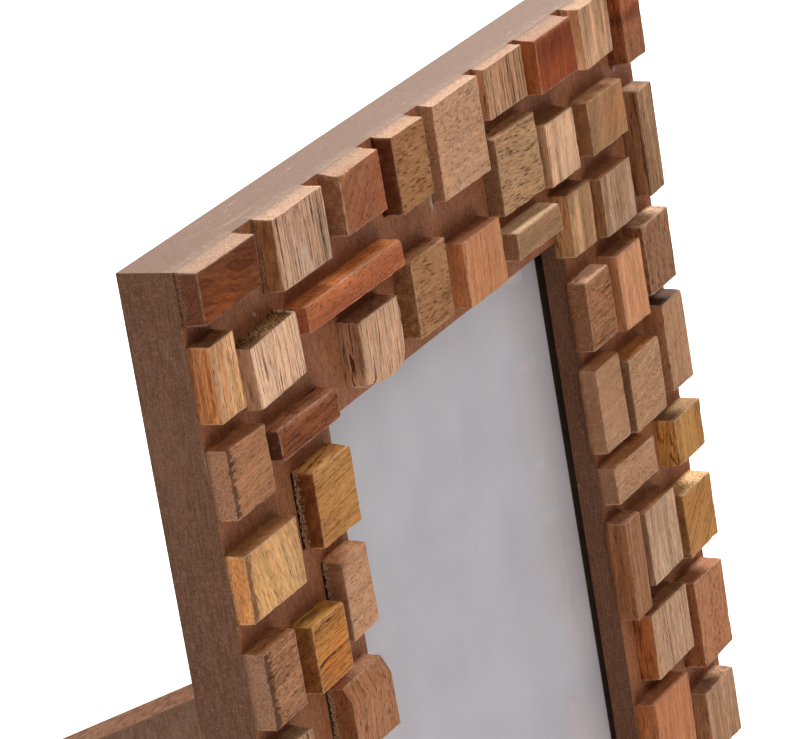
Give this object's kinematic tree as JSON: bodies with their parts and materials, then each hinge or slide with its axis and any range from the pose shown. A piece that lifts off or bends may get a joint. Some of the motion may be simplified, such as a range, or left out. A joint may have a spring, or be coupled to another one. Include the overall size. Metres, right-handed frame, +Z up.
{
  "type": "wooden picture frame",
  "caption": "Standing wooden picture frame with a glued block mosaic border, glazed opening, back panel with turn buttons, and a leg on an upright hinge.",
  "frame": {"origin": "centre of the bounding box at floor level", "axes": "+Z up, -Y towards the viewer of the picture, +X to the viewer's right"},
  "size_m": [0.17, 0.113, 0.2192],
  "materials": {
    "stained_mdf": "brown stained MDF, matt",
    "mosaic_wood": "rough-cut hardwood blocks, sanded, thin matt lacquer",
    "glass": "clear float glass",
    "insert_paper": "plain light grey paper",
    "panel_mdf": "brown stained hardboard, matt",
    "zinc_steel": "zinc plated",
    "hinge_steel": "brass plated steel, dull"
  },
  "bodies": {
    "frame": {"frame_board": "stained_mdf", "top_outer_blocks": "mosaic_wood", "top_middle_blocks": "mosaic_wood", "top_inner_blocks": "mosaic_wood", "left_outer_blocks": "mosaic_wood", "left_middle_blocks": "mosaic_wood", "left_inner_blocks": "mosaic_wood", "right_outer_blocks": "mosaic_wood", "right_middle_blocks": "mosaic_wood", "right_inner_blocks": "mosaic_wood", "bottom_outer_blocks": "mosaic_wood", "bottom_middle_blocks": "mosaic_wood", "bottom_inner_blocks": "mosaic_wood", "glass_pane": "glass", "photo_insert": "insert_paper", "back_panel": "panel_mdf", "button_screws": "zinc_steel", "hinge_leaf_panel": "hinge_steel", "hinge_pin": "hinge_steel", "hinge_rivets": "hinge_steel"},
    "leg": {"leg": "stained_mdf", "hinge_leaf_leg": "hinge_steel", "leg_screws": "zinc_steel"},
    "button_left_upper": {"turn_button_left_upper": "zinc_steel"},
    "button_left_lower": {"turn_button_left_lower": "zinc_steel"},
    "button_right_upper": {"turn_button_right_upper": "zinc_steel"},
    "button_right_lower": {"turn_button_right_lower": "zinc_steel"}
  },
  "joints": [
    {"name": "leg_hinge", "type": "hinge", "parent": "frame", "child": "leg", "pos_m": [0, -0.02413, 0.09026], "axis": [0, -0.1736, -0.9848], "range_deg": [-75, 20]},
    {"name": "button_left_upper_turn", "type": "hinge", "parent": "frame", "child": "button_left_upper", "pos_m": [-0.057, -0.01474, 0.15359], "axis": [0, 0.9848, -0.1736], "continuous": true},
    {"name": "button_left_lower_turn", "type": "hinge", "parent": "frame", "child": "button_left_lower", "pos_m": [-0.057, -0.03037, 0.06495], "axis": [0, 0.9848, -0.1736], "continuous": true},
    {"name": "button_right_upper_turn", "type": "hinge", "parent": "frame", "child": "button_right_upper", "pos_m": [0.057, -0.01474, 0.15359], "axis": [0, 0.9848, -0.1736], "continuous": true},
    {"name": "button_right_lower_turn", "type": "hinge", "parent": "frame", "child": "button_right_lower", "pos_m": [0.057, -0.03037, 0.06495], "axis": [0, 0.9848, -0.1736], "continuous": true}
  ]
}
